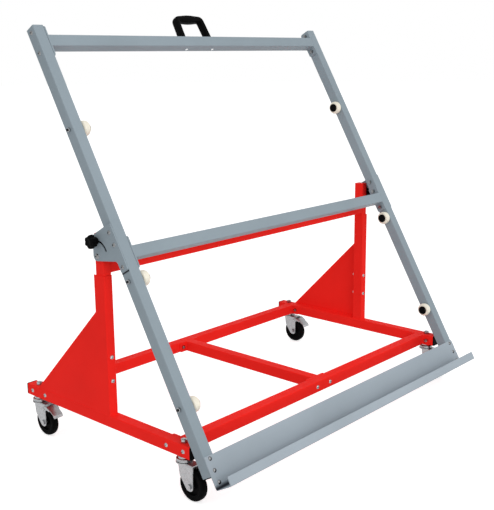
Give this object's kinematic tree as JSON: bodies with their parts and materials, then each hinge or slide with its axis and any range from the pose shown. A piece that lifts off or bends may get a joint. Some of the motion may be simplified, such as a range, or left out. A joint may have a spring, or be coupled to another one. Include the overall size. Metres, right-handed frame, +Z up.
{
  "type": "drywall cart",
  "caption": "Drywall cart: a red tube base on swivel casters carries a grey tilting frame with a folded ledge, guide rollers, clamp knobs in arc slots and a bow handle.",
  "frame": {"origin": "on the floor, under the middle of the bounding box", "axes": "+X runs along the ledge to the right seen from the loading side, -Y is the loading side, +Z is up"},
  "size_m": [1.5046, 0.9882, 1.453],
  "materials": {
    "red_paint": "gloss powder coat",
    "grey_paint": "satin powder coat",
    "zinc_plate": "bright zinc plate",
    "black_plastic": "fine grain",
    "hub_plastic": "moulded",
    "tyre": "smooth rubber",
    "ivory_plastic": "moulded"
  },
  "bodies": {
    "base": {"left_side_member": "red_paint", "right_side_member": "red_paint", "side_member_plugs": "black_plastic", "front_beam": "red_paint", "rear_beam": "red_paint", "cross_member": "red_paint", "left_post": "red_paint", "right_post": "red_paint", "left_gusset": "red_paint", "right_gusset": "red_paint", "upper_crossbeam": "red_paint", "base_bolts": "zinc_plate", "pivot_bolts": "zinc_plate", "friction_pads": "black_plastic", "knob_nuts": "zinc_plate", "caster_bolts": "zinc_plate", "caster_cups": "zinc_plate"},
    "tilt_frame": {"left_rail": "grey_paint", "right_rail": "grey_paint", "rail_plugs": "black_plastic", "top_bar": "grey_paint", "middle_bar": "grey_paint", "left_pivot_plate": "grey_paint", "right_pivot_plate": "grey_paint", "shelf": "grey_paint", "frame_bolts": "zinc_plate", "handle": "black_plastic", "handle_bolts": "zinc_plate", "roller_axles": "zinc_plate", "roller_caps": "black_plastic"},
    "left_clamp": {"left_knob": "black_plastic", "left_knob_stud": "zinc_plate"},
    "right_clamp": {"right_knob": "black_plastic", "right_knob_stud": "zinc_plate"},
    "swivel_front_left": {"fork_front_left": "zinc_plate", "axle_front_left": "zinc_plate"},
    "wheel_front_left": {"tyre_front_left": "tyre", "hub_front_left": "hub_plastic"},
    "swivel_front_right": {"fork_front_right": "zinc_plate", "axle_front_right": "zinc_plate"},
    "wheel_front_right": {"tyre_front_right": "tyre", "hub_front_right": "hub_plastic"},
    "swivel_rear_left": {"fork_rear_left": "zinc_plate", "axle_rear_left": "zinc_plate"},
    "wheel_rear_left": {"tyre_rear_left": "tyre", "hub_rear_left": "hub_plastic"},
    "pedal_rear_left": {"brake_rear_left": "zinc_plate"},
    "swivel_rear_right": {"fork_rear_right": "zinc_plate", "axle_rear_right": "zinc_plate"},
    "wheel_rear_right": {"tyre_rear_right": "tyre", "hub_rear_right": "hub_plastic"},
    "pedal_rear_right": {"brake_rear_right": "zinc_plate"},
    "guide_roller_left_high": {"roller_left_high": "ivory_plastic"},
    "guide_roller_left_middle": {"roller_left_middle": "ivory_plastic"},
    "guide_roller_left_low": {"roller_left_low": "ivory_plastic"},
    "guide_roller_right_high": {"roller_right_high": "ivory_plastic"},
    "guide_roller_right_middle": {"roller_right_middle": "ivory_plastic"},
    "guide_roller_right_low": {"roller_right_low": "ivory_plastic"}
  },
  "joints": [
    {"name": "frame_tilt", "type": "hinge", "parent": "base", "child": "tilt_frame", "pos_m": [0, 0.05758, 0.7013], "axis": [-1, 0, 0], "range_deg": [0, 60]},
    {"name": "left_clamp_turn", "type": "hinge", "parent": "base", "child": "left_clamp", "pos_m": [-0.719, 0.05758, 0.7503], "axis": [-1, 0, 0], "range_deg": [0, 360]},
    {"name": "right_clamp_turn", "type": "hinge", "parent": "base", "child": "right_clamp", "pos_m": [0.719, 0.05758, 0.7503], "axis": [1, 0, 0], "range_deg": [0, 360]},
    {"name": "swivel_front_left_turn", "type": "hinge", "parent": "base", "child": "swivel_front_left", "pos_m": [-0.695, -0.28483, 0.119], "axis": [0, 0, 1], "continuous": true},
    {"name": "wheel_front_left_roll", "type": "hinge", "parent": "swivel_front_left", "child": "wheel_front_left", "pos_m": [-0.695, -0.32183, 0.05], "axis": [1, 0, 0], "continuous": true},
    {"name": "swivel_front_right_turn", "type": "hinge", "parent": "base", "child": "swivel_front_right", "pos_m": [0.695, -0.28483, 0.119], "axis": [0, 0, 1], "continuous": true},
    {"name": "wheel_front_right_roll", "type": "hinge", "parent": "swivel_front_right", "child": "wheel_front_right", "pos_m": [0.695, -0.32183, 0.05], "axis": [1, 0, 0], "continuous": true},
    {"name": "swivel_rear_left_turn", "type": "hinge", "parent": "base", "child": "swivel_rear_left", "pos_m": [-0.695, 0.44758, 0.119], "axis": [0, 0, 1], "continuous": true},
    {"name": "wheel_rear_left_roll", "type": "hinge", "parent": "swivel_rear_left", "child": "wheel_rear_left", "pos_m": [-0.695, 0.41058, 0.05], "axis": [1, 0, 0], "continuous": true},
    {"name": "pedal_rear_left_press", "type": "hinge", "parent": "swivel_rear_left", "child": "pedal_rear_left", "pos_m": [-0.695, 0.40158, 0.103], "axis": [1, 0, 0], "range_deg": [0, 18]},
    {"name": "swivel_rear_right_turn", "type": "hinge", "parent": "base", "child": "swivel_rear_right", "pos_m": [0.695, 0.44758, 0.119], "axis": [0, 0, 1], "continuous": true},
    {"name": "wheel_rear_right_roll", "type": "hinge", "parent": "swivel_rear_right", "child": "wheel_rear_right", "pos_m": [0.695, 0.41058, 0.05], "axis": [1, 0, 0], "continuous": true},
    {"name": "pedal_rear_right_press", "type": "hinge", "parent": "swivel_rear_right", "child": "pedal_rear_right", "pos_m": [0.695, 0.40158, 0.103], "axis": [1, 0, 0], "range_deg": [0, 18]},
    {"name": "guide_roller_left_high_spin", "type": "hinge", "parent": "tilt_frame", "child": "guide_roller_left_high", "pos_m": [-0.6602, 0.1693, 1.08482], "axis": [1, 0, 0], "continuous": true},
    {"name": "guide_roller_left_middle_spin", "type": "hinge", "parent": "tilt_frame", "child": "guide_roller_left_middle", "pos_m": [-0.6602, -0.0857, 0.64314], "axis": [1, 0, 0], "continuous": true},
    {"name": "guide_roller_left_low_spin", "type": "hinge", "parent": "tilt_frame", "child": "guide_roller_left_low", "pos_m": [-0.6602, -0.2907, 0.28807], "axis": [1, 0, 0], "continuous": true},
    {"name": "guide_roller_right_high_spin", "type": "hinge", "parent": "tilt_frame", "child": "guide_roller_right_high", "pos_m": [0.6602, 0.1693, 1.08482], "axis": [1, 0, 0], "continuous": true},
    {"name": "guide_roller_right_middle_spin", "type": "hinge", "parent": "tilt_frame", "child": "guide_roller_right_middle", "pos_m": [0.6602, -0.0857, 0.64314], "axis": [1, 0, 0], "continuous": true},
    {"name": "guide_roller_right_low_spin", "type": "hinge", "parent": "tilt_frame", "child": "guide_roller_right_low", "pos_m": [0.6602, -0.2907, 0.28807], "axis": [1, 0, 0], "continuous": true}
  ]
}
